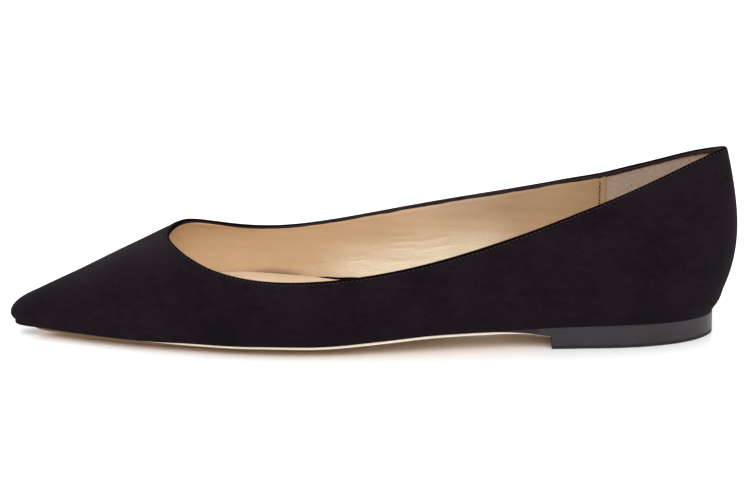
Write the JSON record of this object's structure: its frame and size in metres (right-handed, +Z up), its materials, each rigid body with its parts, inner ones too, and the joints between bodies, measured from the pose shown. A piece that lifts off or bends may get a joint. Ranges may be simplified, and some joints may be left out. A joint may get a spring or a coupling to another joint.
{
  "type": "ballet flat",
  "caption": "Pointed ballet flat for the left foot: suede upper with a low rounded throat, padded leather insole, thin leather sole with a slight toe spring, and a low heel.",
  "frame": {"origin": "centre of the shoe's box in X and Y, on the floor that the sole and the heel stand on", "axes": "+X from the toe to the heel along the shoe, +Y from the outer side of the foot to the inner side, +Z up"},
  "size_m": [0.2662, 0.0724, 0.0699],
  "materials": {
    "black_suede": "napped suede, matte",
    "cream_leather": "soft lining leather, low sheen",
    "tan_sole_leather": "smooth sole leather, satin",
    "dyed_heel": "dyed and waxed, satin",
    "black_rubber": "matte"
  },
  "bodies": {
    "root": {"upper": "black_suede", "insole": "cream_leather", "outsole": "tan_sole_leather", "heel": "dyed_heel", "heel_top_piece": "black_rubber"}
  },
  "joints": []
}
